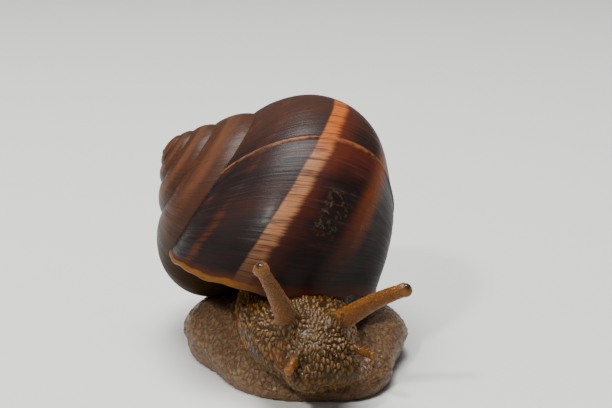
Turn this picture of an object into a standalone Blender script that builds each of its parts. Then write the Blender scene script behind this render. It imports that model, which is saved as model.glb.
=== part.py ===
"""A Turkish snail crawling with its head and feelers out, as a still, life-size model.

Metres, +Z up. The snail faces -Y and its flat sole lies on the floor, Z = 0.
The shell is a right-handed spiral whose every turn is the last one made larger.
"""

import math

import bmesh
import bpy
import numpy as np
from mathutils import Matrix, Vector

GAP = 0.0003

# Shell: a tube of oval section, its half width at the mouth, grown by one ratio each turn.
# The waves make the oval a little fuller or flatter two and three times around.
TUBE = 0.0127
TURNS = 5
GROWTH = 1.714
TUBE_OFFSET = 1.339
TUBE_DROP = 2.3984
TUBE_HEIGHT = 1.3769
TUBE_LEAN = 0.116
TUBE_WAVES = (0.066, 0.0737, -0.0159)
SEAM_TOP = 1.4316
SEAM_LOW = 0.3722
BASE_END = -2.15
LIP_SKEW = (0.6368, -0.15955, 0.02008)
SKEW_FULL = 1.4
STEPS_PER_TURN = 44
BAND_ROWS = 6
BASE_ROWS = 14
APEX_RISE = 0.0005

# Growth ridge: where the shell once stopped growing, an angle back from the lip.
RIDGE_BACK = 1.112
RIDGE_HALF = 0.028
RIDGE_HEIGHT = 0.0004
LIP_HALF = 0.05
LIP_HEIGHT = 0.0003
LIP_WALL = 0.0011
VAULT_HEIGHT = 0.006
VAULT_MIDDLE = (0.0045, -0.0170)
COLUMELLA_DROP = 0.0352

# Where the shell stands: a point on its axis below the apex, and how it is turned.
SHELL_CENTRE = Vector((-0.003675, -0.001875, 0.0220))
CENTRE_BELOW_APEX = 0.02172
AXIS_AZIMUTH = math.radians(173.64)
AXIS_ELEVATION = math.radians(36.81)
SHELL_SPIN = math.radians(-39.79)

# Foot: stations along the body as (y, x, half width, height, share by which the left side is lower).
# Like every place below, they are measured from the shell's centre, with Z from the floor.
FOOT_STATIONS = (
    (-0.0325, 0.0100, 0.0042, 0.0018, 0.00),
    (-0.0308, 0.0098, 0.0092, 0.0036, 0.00),
    (-0.0262, 0.0088, 0.0136, 0.0062, 0.03),
    (-0.0208, 0.0078, 0.0155, 0.0084, 0.05),
    (-0.0160, 0.0069, 0.0180, 0.0098, 0.06),
    (-0.0115, 0.0065, 0.0194, 0.0100, 0.07),
    (-0.0060, 0.0062, 0.0190, 0.0094, 0.06),
    (0.0030, 0.0057, 0.0164, 0.0082, 0.03),
    (0.0150, 0.0048, 0.0128, 0.0070, 0.00),
    (0.0280, 0.0040, 0.0090, 0.0053, 0.00),
    (0.0395, 0.0034, 0.0051, 0.0033, 0.00),
    (0.0452, 0.0032, 0.0025, 0.0018, 0.00),
    (0.0478, 0.0031, 0.0007, 0.0008, 0.00),
)
FOOT_RINGS = 34
FOOT_SIDES = 28
SOLE_INSET = 0.93
FOOT_EDGE = 0.25
FOOT_FULLNESS = 0.62
FOOT_FRONT_END = -0.0140
FOOT_MIDDLE_END = 0.0170

# Neck and head: stations as (y, x, height of the middle, half width, half height).
HEAD_STATIONS = (
    (-0.0130, 0.0050, 0.0098, 0.0088, 0.0066),
    (-0.0200, 0.0060, 0.0101, 0.0091, 0.0066),
    (-0.0270, 0.0071, 0.0102, 0.0092, 0.0065),
    (-0.0315, 0.0082, 0.0100, 0.0086, 0.0062),
    (-0.0350, 0.0096, 0.0097, 0.0071, 0.0055),
    (-0.0380, 0.0112, 0.0094, 0.0051, 0.0043),
    (-0.0401, 0.0123, 0.0089, 0.0036, 0.0032),
    (-0.0414, 0.0128, 0.0085, 0.0021, 0.0019),
    (-0.0419, 0.0129, 0.0083, 0.0008, 0.0007),
)
HEAD_RINGS = 22
HEAD_SIDES = 26
NECK_BACK = -0.0215
NECK_FRONT = -0.0310

# Mantle: the column of flesh that rises from the foot into the shell's mouth.
MANTLE_CENTRE = (0.0063, -0.0165)
MANTLE_HALF = (0.0094, 0.0076)
MANTLE_BOTTOM = 0.0040
MANTLE_TOP = 0.0210
MANTLE_SIDES = 28

# Feelers: root and tip, half width at root, shaft and bulb, and how far the middle bows up.
UPPER_FEELERS = {
    "right": ((0.0072, -0.0340, 0.0115), (0.0012, -0.0412, 0.0260), 0.0024, 0.00095, 0.00128),
    "left": ((0.0122, -0.0336, 0.0130), (0.0243, -0.0383, 0.0214), 0.0019, 0.00108, 0.00120),
}

# The face is turned aside from the body; its pairs are placed from a pivot in the head as
# (sideways, forward, height), the same on both sides.
FACE_PIVOT = (0.0105, -0.0360)
FACE_TURN = math.radians(25.0)
LOWER_ROOT = (0.0024, 0.0004, 0.0118)
LOWER_TIP = (0.0065, 0.0058, 0.0106)
LOWER_SIZES = (0.0011, 0.00060, 0.00070)
LOBE_CENTRE = (0.0048, 0.0033, 0.0076)
LOBE_HALF = (0.0031, 0.0024, 0.0018)
UPPER_BOW = 0.0008
LOWER_BOW = 0.0003
UPPER_RINGS = 15
LOWER_RINGS = 9
UPPER_SIDES = 16
LOWER_SIDES = 12
EYE_RADIUS = 0.0005
EYE_SINK = 0.0004
EYE_TOWARDS = {"right": (-0.20, -0.42, 0.88), "left": (0.30, -0.42, 0.86)}
BULB_DEPTH = 1.07

# Mouth: a short slit under the front of the head, between the two lobes.
SLIT_CENTRE = (0.0128, -0.0408, 0.0064)
SLIT_HALF = (0.0016, 0.0020, 0.00030)

COLOURS = {
    "shell": (0.055, 0.022, 0.014, 0.28),
    "flesh": (0.230, 0.130, 0.070, 0.35),
    "feeler": (0.300, 0.160, 0.070, 0.35),
    "eye": (0.010, 0.008, 0.008, 0.12),
}


def clear_scene():
    for thing in list(bpy.data.objects):
        bpy.data.objects.remove(thing, do_unlink=True)


def material(name):
    """One Principled material for a named finish, made once."""
    found = bpy.data.materials.get(name)
    if found:
        return found
    made = bpy.data.materials.new(name)
    made.use_nodes = True
    shader = made.node_tree.nodes["Principled BSDF"]
    red, green, blue, rough = COLOURS[name]
    shader.inputs["Base Color"].default_value = (red, green, blue, 1.0)
    shader.inputs["Roughness"].default_value = rough
    shader.inputs["Metallic"].default_value = 0.0
    return made


def mesh_object(name, points, faces):
    """An object from points and faces, its normals turned outwards."""
    mesh = bpy.data.meshes.new(name)
    made = bpy.data.objects.new(name, mesh)
    bpy.context.scene.collection.objects.link(made)
    shape = bmesh.new()
    corners = [shape.verts.new(Vector(point)) for point in points]
    for face in faces:
        shape.faces.new([corners[index] for index in face])
    bmesh.ops.recalc_face_normals(shape, faces=shape.faces)
    if shape.calc_volume(signed=True) < 0:
        bmesh.ops.reverse_faces(shape, faces=shape.faces)
    shape.to_mesh(mesh)
    shape.free()
    return made


def bake(thing):
    """Replaces an object's mesh by its evaluated one and drops its modifiers."""
    graph = bpy.context.evaluated_depsgraph_get()
    graph.update()
    baked = bpy.data.meshes.new_from_object(thing.evaluated_get(graph))
    thing.modifiers.clear()
    thing.data = baked


def boolean(thing, operation, other, discard=True):
    """Unites, cuts or intersects an object with another one."""
    modifier = thing.modifiers.new(operation, "BOOLEAN")
    modifier.operation = operation
    modifier.solver = "EXACT"
    modifier.object = other
    bake(thing)
    if discard:
        bpy.data.objects.remove(other, do_unlink=True)


def unite(name, pieces):
    """Joins closed pieces in one Boolean union on a collection."""
    base = pieces[0]
    group = bpy.data.collections.new(name + "_pieces")
    bpy.context.scene.collection.children.link(group)
    for piece in pieces[1:]:
        group.objects.link(piece)
    modifier = base.modifiers.new("UNION", "BOOLEAN")
    modifier.operation = "UNION"
    modifier.solver = "EXACT"
    modifier.operand_type = "COLLECTION"
    modifier.collection = group
    bake(base)
    for piece in pieces[1:]:
        bpy.data.objects.remove(piece, do_unlink=True)
    bpy.data.collections.remove(group)
    base.name = name
    return base


def keep_largest(thing):
    """Keeps only the closed surface that holds the most."""
    shape = bmesh.new()
    shape.from_mesh(thing.data)
    left = set(shape.faces)
    islands = []
    while left:
        start = left.pop()
        island = {start}
        edge_of = [start]
        while edge_of:
            face = edge_of.pop()
            for edge in face.edges:
                for other in edge.link_faces:
                    if other in left:
                        left.remove(other)
                        island.add(other)
                        edge_of.append(other)
        islands.append(island)
    best = max(islands, key=lambda faces: sum(face.calc_area() for face in faces))
    loose = [face for face in shape.faces if face not in best]
    bmesh.ops.delete(shape, geom=loose, context="FACES")
    shape.to_mesh(thing.data)
    shape.free()


def copy_of(thing, name):
    made = bpy.data.objects.new(name, thing.data.copy())
    bpy.context.scene.collection.objects.link(made)
    return made


def finish(thing, name, finish_name):
    """Names a finished node, shades it smooth and gives it its material."""
    keep_largest(thing)
    thing.name = name
    thing.data.name = name
    thing.data.materials.clear()
    thing.data.materials.append(material(finish_name))
    thing.data.shade_smooth()
    thing.data.set_sharp_from_angle(angle=math.radians(40))


def smooth_through(stations, count):
    """Rows read at even steps from one smooth curve through the stations' rows."""
    rows = np.array(stations)
    places = np.linspace(0.0, len(rows) - 1.0, count)
    padded = np.vstack((2 * rows[0] - rows[1], rows, 2 * rows[-1] - rows[-2]))
    read = []
    for place in places:
        index = min(int(place), len(rows) - 2)
        u = place - index
        a, b, c, d = padded[index : index + 4]
        read.append(
            0.5
            * (2 * b + (c - a) * u + (2 * a - 5 * b + 4 * c - d) * u**2 + (3 * b - a - 3 * c + d) * u**3)
        )
    return np.array(read)


def loft(name, rings):
    """A closed body through rings of the same number of points, with a fan at each end."""
    count = len(rings)
    sides = len(rings[0])
    points = [point for ring in rings for point in ring]
    faces = []
    for ring in range(count - 1):
        for side in range(sides):
            after = (side + 1) % sides
            faces.append(
                (
                    ring * sides + side,
                    ring * sides + after,
                    (ring + 1) * sides + after,
                    (ring + 1) * sides + side,
                )
            )
    for first in (0, (count - 1) * sides):
        middle = len(points)
        points.append(np.mean(points[first : first + sides], axis=0))
        for side in range(sides):
            after = (side + 1) % sides
            faces.append((first + side, first + after, middle))
    return mesh_object(name, points, faces)


def shell_axes():
    """The shell's own X, Y and Z directions, Z from the mouth's side towards the apex."""
    flat = math.cos(AXIS_ELEVATION)
    along = Vector(
        (
            flat * math.cos(AXIS_AZIMUTH),
            flat * math.sin(AXIS_AZIMUTH),
            math.sin(AXIS_ELEVATION),
        )
    )
    across = Vector((0, 0, 1)).cross(along).normalized()
    return np.array((across, along.cross(across), along))


def skew(section):
    """How far back from the seam's end the lip lies at an angle round the section."""
    below = SEAM_TOP - section
    first, second, third = LIP_SKEW
    return -(first * below + second * below**2 + third * below**3)


def skew_share(turn, end):
    """The share of the skew that a growth line has: none up to the last turn, all near the lip."""
    place = (turn - (end - 2 * math.pi)) / (2 * math.pi - SKEW_FULL)
    place = min(max(place, 0.0), 1.0)
    return place * place * (3 - 2 * place)


def raised(turn, end, share):
    """How far the growth ridge and the lip stand out of the shell at a growth line."""
    ridge = RIDGE_HEIGHT * max(0.0, 1 - abs(turn - (end - RIDGE_BACK)) / RIDGE_HALF)
    lip = LIP_HEIGHT * max(0.0, 1 - abs(turn - end) / LIP_HALF)
    return share * (ridge + lip)


def shell_place(turn, section, lift, end, axes):
    """A point of the shell's surface, at a growth angle and an angle round the tube's section."""
    size = TUBE * math.exp(-math.log(GROWTH) / (2 * math.pi) * (end - turn))
    first, second, third = TUBE_WAVES
    fullness = 1 + first * math.sin(2 * section) + second * math.cos(3 * section)
    fullness += third * math.sin(3 * section)
    out, up = fullness * math.cos(section), fullness * TUBE_HEIGHT * math.sin(section)
    normal_out, normal_up = math.cos(section), math.sin(section) / TUBE_HEIGHT
    length = math.hypot(normal_out, normal_up)
    out += normal_out / length * lift / size
    up += normal_up / length * lift / size
    lean_cos, lean_sin = math.cos(TUBE_LEAN), math.sin(TUBE_LEAN)
    radius = (TUBE_OFFSET + out * lean_cos - up * lean_sin) * size
    height = (-TUBE_DROP + out * lean_sin + up * lean_cos) * size
    angle = SHELL_SPIN - turn
    local = np.array((radius * math.cos(angle), radius * math.sin(angle), height))
    return from_shell(local, axes)


def from_shell(local, axes):
    """A point of the shell's own frame, its apex at the origin, in the model's frame."""
    apex = np.array(SHELL_CENTRE) + CENTRE_BELOW_APEX * axes[2]
    return apex + local @ axes


def growth_lines(end):
    """The growth angles of the mesh: even steps, closer at the ridge and the lip, alike each turn."""
    step = 2 * math.pi / STEPS_PER_TURN
    phases = [step * index for index in range(STEPS_PER_TURN)]
    extra = [LIP_HALF]
    for share in (-1.0, 0.0, 1.0):
        extra.append(RIDGE_BACK + share * RIDGE_HALF)
    kept = [phase for phase in phases if all(abs(phase - more) > 0.3 * step for more in extra)]
    phases = sorted(kept + extra)
    lines = [end - 2 * math.pi * turn - phase for turn in range(TURNS) for phase in phases]
    lines.append(end - 2 * math.pi * TURNS)
    return sorted(lines), len(phases)


def shell_solid(name, lift):
    """The closed shell; lift grows it, for cutting clear what lies against it."""
    axes = shell_axes()
    end = 2 * math.pi * TURNS
    lines, per_turn = growth_lines(end)
    last = len(lines) - 1
    first_of_last = last - per_turn
    sections = [SEAM_TOP + (SEAM_LOW - SEAM_TOP) * row / BAND_ROWS for row in range(BAND_ROWS + 1)]
    low = [SEAM_LOW + (BASE_END - SEAM_LOW) * row / BASE_ROWS for row in range(1, BASE_ROWS + 1)]
    points = []
    index_of = {}

    def place(line, row, section):
        share = skew_share(lines[line], end) if line > first_of_last else 0.0
        turn = lines[line] + share * skew(section)
        height = raised(lines[line], end, share) + lift
        index_of[line, row] = len(points)
        points.append(shell_place(turn, section, height, end, axes))

    for line in range(last + 1):
        for row, section in enumerate(sections):
            if row == 0 and line >= per_turn:
                index_of[line, 0] = index_of[line - per_turn, BAND_ROWS]
            else:
                place(line, row, section)
        if line >= first_of_last:
            for row, section in enumerate(low):
                place(line, BAND_ROWS + 1 + row, section)
    faces = []
    base_row = BAND_ROWS + BASE_ROWS
    for line in range(last):
        rows = base_row if line >= first_of_last else BAND_ROWS
        for row in range(rows):
            faces.append(
                (
                    index_of[line, row],
                    index_of[line, row + 1],
                    index_of[line + 1, row + 1],
                    index_of[line + 1, row],
                )
            )
    # The apex: a low dome over the hole inside the first seam.
    rim = [index_of[line, 0] for line in range(per_turn)]
    rim += [index_of[0, row] for row in range(BAND_ROWS, 0, -1)]
    dome = len(points)
    centre = np.mean([points[index] for index in rim], axis=0)
    points.append(centre + axes[2] * (APEX_RISE + lift))
    faces += [(rim[k], rim[(k + 1) % len(rim)], dome) for k in range(len(rim))]
    # The base: closed to the foot of the pillar that the tube winds round.
    pillar = len(points)
    points.append(from_shell(np.array((0.0, 0.0, -COLUMELLA_DROP - lift)), axes))
    for line in range(first_of_last, last):
        faces.append((index_of[line, base_row], pillar, index_of[line + 1, base_row]))
    # The mouth: a rim as wide as the wall, then a vault that rises into the last turn.
    mouth = [index_of[last, row] for row in range(base_row + 1)] + [pillar]
    mouth += [index_of[first_of_last, row] for row in range(base_row, BAND_ROWS, -1)]
    for index in mouth:
        points[index] = points[index] - np.array((0.0, 0.0, lift))
    middle = at_centre(*VAULT_MIDDLE, np.mean([points[index][2] for index in mouth]))
    inner = []
    for index in mouth:
        towards = middle - points[index]
        inner.append(len(points))
        points.append(points[index] + towards / np.linalg.norm(towards) * (LIP_WALL + 2.5 * lift))
    top = len(points)
    points.append(middle + np.array((0.0, 0.0, VAULT_HEIGHT - 4.5 * lift)))
    for k in range(len(mouth)):
        after = (k + 1) % len(mouth)
        faces.append((mouth[k], inner[k], inner[after], mouth[after]))
        faces.append((inner[k], top, inner[after]))
    return mesh_object(name, points, faces)


def at_centre(x, y, z):
    """A place measured from the shell's centre, with Z from the floor."""
    return np.array((SHELL_CENTRE.x + x, SHELL_CENTRE.y + y, z))


def at_face(sideways, forward, height, side):
    """A place on the turned face; the right side mirrors the left."""
    sign = 1 if side == "left" else -1
    x = FACE_PIVOT[0] + sign * sideways * math.cos(FACE_TURN) + forward * math.sin(FACE_TURN)
    y = FACE_PIVOT[1] + sign * sideways * math.sin(FACE_TURN) - forward * math.cos(FACE_TURN)
    return at_centre(x, y, height)


def foot_solid(name, grow):
    """The whole foot: a flat sole and a rounded back, from the front edge to the tail's tip."""
    rings = []
    for y, x, half, height, drop in smooth_through(FOOT_STATIONS, FOOT_RINGS):
        ring = []
        for side in range(FOOT_SIDES):
            angle = 2 * math.pi * side / FOOT_SIDES
            across, rise = math.cos(angle), math.sin(angle)
            if rise > 1e-6:
                top = height * (1 - drop * across)
                edge = FOOT_EDGE * height
                place = at_centre(
                    x + (half + grow) * across, y, edge + (top - edge + grow) * rise**FOOT_FULLNESS
                )
            else:
                place = at_centre(x + SOLE_INSET * (half + grow) * across, y, -grow)
            ring.append(place)
        rings.append(ring)
    return loft(name, rings)


def head_solid(name, grow):
    """The neck and head in one, from inside the mantle to the muzzle."""
    rows = smooth_through(HEAD_STATIONS, HEAD_RINGS)
    turns = np.arctan2(np.gradient(rows[:, 1]), -np.gradient(rows[:, 0]))
    rings = []
    for (y, x, middle, half, rise), turn in zip(rows, turns):
        ring = []
        for side in range(HEAD_SIDES):
            angle = 2 * math.pi * side / HEAD_SIDES
            sideways = (half + grow) * math.cos(angle)
            ring.append(
                at_centre(
                    x + sideways * math.cos(turn),
                    y + sideways * math.sin(turn),
                    middle + (rise + grow) * math.sin(angle),
                )
            )
        rings.append(ring)
    return loft(name, rings)


def mantle_solid(name):
    """The oval column of flesh between the foot and the shell's mouth."""
    rings = []
    for height, share in ((MANTLE_BOTTOM, 1.0), (0.011, 0.97), (MANTLE_TOP, 0.78)):
        ring = []
        for side in range(MANTLE_SIDES):
            angle = 2 * math.pi * side / MANTLE_SIDES
            ring.append(
                at_centre(
                    MANTLE_CENTRE[0] + share * MANTLE_HALF[0] * math.cos(angle),
                    MANTLE_CENTRE[1] + share * MANTLE_HALF[1] * math.sin(angle),
                    height,
                )
            )
        rings.append(ring)
    return loft(name, rings)


def slab(name, low_y, high_y):
    """A wide box between two places along the body, which cuts out one length of it."""
    wide = 0.08
    points = []
    for x in (-wide, wide):
        for y in (low_y, high_y):
            for z in (-wide, wide):
                points.append(at_centre(x, y, z))
    faces = ((0, 1, 3, 2), (4, 6, 7, 5), (0, 4, 5, 1), (2, 3, 7, 6), (0, 2, 6, 4), (1, 5, 7, 3))
    return mesh_object(name, points, faces)


def feeler_solid(name, root, tip, sizes, bow, rings, sides):
    """A tapering feeler that ends in a round bulb, its root sunk in the head."""
    root_half, shaft_half, bulb_half = sizes
    length = (tip - root).length
    along = (tip - root).normalized()
    across = along.cross(Vector((0, 1, 0))).normalized()
    other = along.cross(across)
    made = []
    bulb_from = 1 - 1.9 * bulb_half / length
    for ring in range(rings):
        u = ring / (rings - 1)
        if u < 0.6:
            place = bulb_from * u / 0.6
            half = shaft_half + (root_half - shaft_half) * (1 - place) ** 1.7
        else:
            swing = (u - 0.6) / 0.4
            angle = math.pi * (0.22 + 0.74 * swing)
            place = bulb_from + (1 - bulb_from) * (math.cos(0.22 * math.pi) - math.cos(angle)) / (
                math.cos(0.22 * math.pi) - math.cos(0.96 * math.pi)
            )
            half = max(bulb_half * math.sin(angle), 0.12 * bulb_half)
            if angle < math.pi / 2:
                half = max(half, shaft_half)
        centre = root + (tip - root) * place + Vector((0, 0, bow * math.sin(math.pi * place)))
        made.append(
            [
                np.array(
                    centre
                    + half * math.cos(2 * math.pi * side / sides) * across
                    + half * math.sin(2 * math.pi * side / sides) * other
                )
                for side in range(sides)
            ]
        )
    return loft(name, made)


def ball(name, centre, half, segments=14, rows=9, turn=0.0):
    """A ball or egg shape by its centre and its three half sizes, turned about Z."""
    mesh = bpy.data.meshes.new(name)
    made = bpy.data.objects.new(name, mesh)
    bpy.context.scene.collection.objects.link(made)
    shape = bmesh.new()
    place = Matrix.Translation(Vector(centre)) @ Matrix.Rotation(turn, 4, "Z")
    place = place @ Matrix.Diagonal((*half, 1.0))
    bmesh.ops.create_uvsphere(shape, u_segments=segments, v_segments=rows, radius=1.0, matrix=place)
    shape.to_mesh(mesh)
    shape.free()
    return made


def build_body(grown_shell):
    """The foot, mantle, neck and head, each a node of its own."""
    foot = foot_solid("foot", 0.0)
    grown_foot = foot_solid("grown_foot", GAP)
    boolean(foot, "DIFFERENCE", grown_shell, discard=False)
    far = 0.2
    half_gap = GAP / 2
    lengths = {
        "foot_front": (-far, FOOT_FRONT_END - half_gap),
        "foot_middle": (FOOT_FRONT_END + half_gap, FOOT_MIDDLE_END - half_gap),
        "tail": (FOOT_MIDDLE_END + half_gap, far),
    }
    for name, (low, high) in lengths.items():
        piece = copy_of(foot, name)
        boolean(piece, "INTERSECT", slab("cut", low, high))
        finish(piece, name, "flesh")
    bpy.data.objects.remove(foot, do_unlink=True)
    upper = unite("upper", [mantle_solid("column"), head_solid("neck_and_head", 0.0)])
    boolean(upper, "DIFFERENCE", grown_shell, discard=False)
    boolean(upper, "DIFFERENCE", grown_foot)
    lengths = {
        "mantle": (NECK_BACK + half_gap, far),
        "neck": (NECK_FRONT + half_gap, NECK_BACK - half_gap),
        "head": (-far, NECK_FRONT - half_gap),
    }
    for name, (low, high) in lengths.items():
        piece = copy_of(upper, name)
        boolean(piece, "INTERSECT", slab("cut", low, high))
        if name == "head":
            boolean(piece, "DIFFERENCE", ball("slit", at_centre(*SLIT_CENTRE), SLIT_HALF))
        finish(piece, name, "flesh")
    bpy.data.objects.remove(upper, do_unlink=True)


def build_face():
    """The feelers with their eyes, and the lobes beside the mouth."""
    grown_head = head_solid("grown_head", GAP)
    for side, (root, tip, *sizes) in UPPER_FEELERS.items():
        root, tip = Vector(at_centre(*root)), Vector(at_centre(*tip))
        feeler = feeler_solid("feeler", root, tip, sizes, UPPER_BOW, UPPER_RINGS, UPPER_SIDES)
        bulb_half = sizes[-1]
        bulb_centre = tip - (tip - root).normalized() * BULB_DEPTH * bulb_half
        towards = Vector(EYE_TOWARDS[side]).normalized()
        eye_centre = bulb_centre + towards * (bulb_half - EYE_SINK)
        boolean(feeler, "DIFFERENCE", grown_head, discard=False)
        socket = ball("socket", eye_centre, [EYE_RADIUS + GAP] * 3, 12, 8)
        boolean(feeler, "DIFFERENCE", socket)
        finish(feeler, "tentacle_upper_" + side, "feeler")
        eye = ball("eye", eye_centre, [EYE_RADIUS] * 3, 12, 8)
        finish(eye, "eye_" + side, "eye")
    for side in ("right", "left"):
        root = Vector(at_face(*LOWER_ROOT, side))
        tip = Vector(at_face(*LOWER_TIP, side))
        sizes = LOWER_SIZES
        feeler = feeler_solid("feeler", root, tip, sizes, LOWER_BOW, LOWER_RINGS, LOWER_SIDES)
        boolean(feeler, "DIFFERENCE", grown_head, discard=False)
        finish(feeler, "tentacle_lower_" + side, "feeler")
        lobe = ball("lobe", at_face(*LOBE_CENTRE, side), LOBE_HALF, turn=FACE_TURN)
        boolean(lobe, "DIFFERENCE", grown_head, discard=False)
        finish(lobe, "mouth_lobe_" + side, "flesh")
    bpy.data.objects.remove(grown_head, do_unlink=True)


def main():
    clear_scene()
    shell = shell_solid("shell", 0.0)
    finish(shell, "shell", "shell")
    grown_shell = shell_solid("grown_shell", GAP)
    build_body(grown_shell)
    build_face()
    bpy.data.objects.remove(grown_shell, do_unlink=True)


main()
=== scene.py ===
"""Looks of a life-size museum model of a creeping snail.

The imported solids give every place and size, in metres: X to the snail's left, Y from head to
tail, Z up. The shell is coiled from its own rule with fine growth ridges, one wet skin covers
the whole body, and the eyes sit in the tips of the upper feelers.
"""

import logging
import math
from dataclasses import dataclass, field
from enum import Enum
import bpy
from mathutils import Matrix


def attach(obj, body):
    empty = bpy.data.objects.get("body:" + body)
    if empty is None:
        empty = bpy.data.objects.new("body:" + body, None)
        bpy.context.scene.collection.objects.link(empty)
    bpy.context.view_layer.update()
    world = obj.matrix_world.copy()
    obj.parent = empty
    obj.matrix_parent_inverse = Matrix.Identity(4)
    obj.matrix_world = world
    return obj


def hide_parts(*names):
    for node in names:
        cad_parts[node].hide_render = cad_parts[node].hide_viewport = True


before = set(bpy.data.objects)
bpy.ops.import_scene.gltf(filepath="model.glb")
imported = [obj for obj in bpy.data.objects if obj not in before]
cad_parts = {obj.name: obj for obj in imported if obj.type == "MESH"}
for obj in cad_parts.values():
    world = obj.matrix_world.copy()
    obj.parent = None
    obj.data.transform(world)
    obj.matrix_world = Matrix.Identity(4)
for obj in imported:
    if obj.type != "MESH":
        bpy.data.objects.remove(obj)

from types import SimpleNamespace
from typing import Union

import bmesh
import bpy
import numpy as np
from mathutils import Matrix, Vector
from mathutils.bvhtree import BVHTree

log = logging.getLogger("snail")

MM = 0.001
FULL_TURN = 2 * math.pi
UP = Vector((0, 0, 1))
Number = Union["Value", float]
Colour = tuple[float, float, float]
Place = tuple[float, float, float]
Ring = list[Vector]
Table = tuple[tuple[float, ...], ...]
Finish = bpy.types.Material
Mesh = bpy.types.Mesh
Piece = bpy.types.Object
Tree = bpy.types.NodeTree


class Side(Enum):
    """The snail's own left or right; the value is the sign of X."""

    LEFT = 1
    RIGHT = -1

    @property
    def word(self) -> str:
        """The side as it stands in a node's name."""
        return self.name.lower()


class Zone(Enum):
    """A region of the body; the value is how widely it melts into its neighbours, in metres."""

    FOOT = 3.2 * MM
    HEAD = 3.0 * MM
    COLLAR = 1.4 * MM
    FEELER = 1.5 * MM
    SMALL_FEELER = 1.3 * MM
    LOBE = 2.4 * MM


class Value:
    """What one socket of a node tree carries; the usual signs and calls add the nodes."""

    def __init__(self, socket: bpy.types.NodeSocket) -> None:
        """Takes the output socket."""
        self.socket = socket
        self.tree = socket.id_data

    def join(self, operation: str, *others: Number) -> "Value":
        """The result of one Math node."""
        return add(self.tree, "ShaderNodeMath", (self, *others), operation=operation)

    def vector(self, operation: str, other: object) -> "Value":
        """The result of one Vector Math node, where SCALE takes a number."""
        inputs = {0: self, "Scale" if operation == "SCALE" else 1: other}
        return add(self.tree, "ShaderNodeVectorMath", inputs, operation=operation)

    def __add__(self, other: Number) -> "Value":
        """The sum."""
        return self.join("ADD", other)

    __radd__ = __add__

    def __sub__(self, other: Number) -> "Value":
        """The difference."""
        return self.join("SUBTRACT", other)

    def __rsub__(self, other: float) -> "Value":
        """The difference from a plain number."""
        return self * -1.0 + other

    def __mul__(self, other: Number) -> "Value":
        """The product."""
        return self.join("MULTIPLY", other)

    __rmul__ = __mul__

    def __truediv__(self, other: Number) -> "Value":
        """The quotient."""
        return self.join("DIVIDE", other)

    def sine(self) -> "Value":
        """The sine of an angle in radians."""
        return self.join("SINE")

    def cosine(self) -> "Value":
        """The cosine of an angle in radians."""
        return self.join("COSINE")

    def spread(
        self, low: float, high: float, to_low: float = 0.0, to_high: float = 1.0, soft: bool = True
    ) -> "Value":
        """Maps a range to another, held at its ends.

        Args:
            low: The number that gives to_low.
            high: The number that gives to_high.
            to_low: The result at and below low.
            to_high: The result at and above high.
            soft: Whether the change eases in and out.

        Returns:
            The mapped number.
        """
        if low > high:
            low, high, to_low, to_high = high, low, to_high, to_low
        inputs = (self, low, high, to_low, to_high)
        kind = "SMOOTHSTEP" if soft else "LINEAR"
        return add(self.tree, "ShaderNodeMapRange", inputs, interpolation_type=kind, clamp=True)

    def near(self, middle: float, half: float, soft: float) -> "Value":
        """One within half of the middle, fading to none over soft beyond that."""
        return (self - middle).join("ABSOLUTE").spread(half, half + soft, 1.0, 0.0)

    def parts(self) -> list["Value"]:
        """The three numbers of a vector."""
        first = add(self.tree, "ShaderNodeSeparateXYZ", (self,))
        return [Value(socket) for socket in first.socket.node.outputs]

    def noise(self, scale: float, detail: float = 2.0, roughness: float = 0.5) -> "Value":
        """A cloudy number about 0.5 that follows the vector, with finer layers on it."""
        inputs = {"Vector": self, "Scale": scale, "Detail": detail, "Roughness": roughness}
        return add(self.tree, "ShaderNodeTexNoise", inputs)

    def cells(self, feature: str = "F1") -> "Value":
        """The distance from the middle of a cell of the vector, or DISTANCE_TO_EDGE."""
        inputs = {"Vector": self, "Scale": 1.0}
        return add(self.tree, "ShaderNodeTexVoronoi", inputs, feature=feature)

    def between(self, first: object, second: object) -> "Value":
        """A colour between two, by the share of the second."""
        inputs = {0: self, 6: first, 7: second}
        return add(self.tree, "ShaderNodeMix", inputs, 2, data_type="RGBA")


def put(socket: bpy.types.NodeSocket, value: object) -> None:
    """Links a Value into a socket, or sets a plain one there.

    Args:
        socket: The input socket.
        value: A Value, number, vector, colour or material.
    """
    if isinstance(value, Value):
        socket.id_data.links.new(value.socket, socket)
    elif socket.type == "RGBA":
        socket.default_value = (*value, 1.0)
    else:
        socket.default_value = value


def add(tree: Tree, kind: str, inputs: object = (), out: object = 0, **settings: object) -> Value:
    """Adds one node.

    Args:
        tree: The tree to add to.
        kind: The node's type.
        inputs: What goes into it, in order, or by the socket's name or number.
        out: The name or number of the output that is wanted.
        settings: The node's own settings.

    Returns:
        That output.
    """
    node = tree.nodes.new(kind)
    for word, setting in settings.items():
        setattr(node, word, setting)
    for word, value in inputs.items() if isinstance(inputs, dict) else enumerate(inputs):
        put(node.inputs[word], value)
    return Value(node.outputs[out])


def vector_of(x: Value, y: Value, z: float) -> Value:
    """A vector from three numbers."""
    return add(x.tree, "ShaderNodeCombineXYZ", (x, y, z))


def stored(tree: Tree, *names: str) -> list[Value]:
    """Numbers stored on the mesh, read in a material."""
    return [add(tree, "ShaderNodeAttribute", out="Fac", attribute_name=name) for name in names]


def marked(tree: Tree, *names: str) -> list[Value]:
    """Numbers stored on the mesh, read in a geometry tree."""
    kind = "GeometryNodeInputNamedAttribute"
    return [add(tree, kind, {"Name": name}, data_type="FLOAT") for name in names]


def place_here(tree: Tree) -> Value:
    """The object's own coordinates, read in a material."""
    return add(tree, "ShaderNodeTexCoord", out="Object")


def painted(colour: object, *layers: tuple[Value, object]) -> Value:
    """Lays colours over a first one.

    Args:
        colour: The first colour.
        layers: Each further colour, after the share that it covers.

    Returns:
        The mixed colour.
    """
    for share, tint in layers:
        colour = share.between(colour, tint)
    return colour


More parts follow.
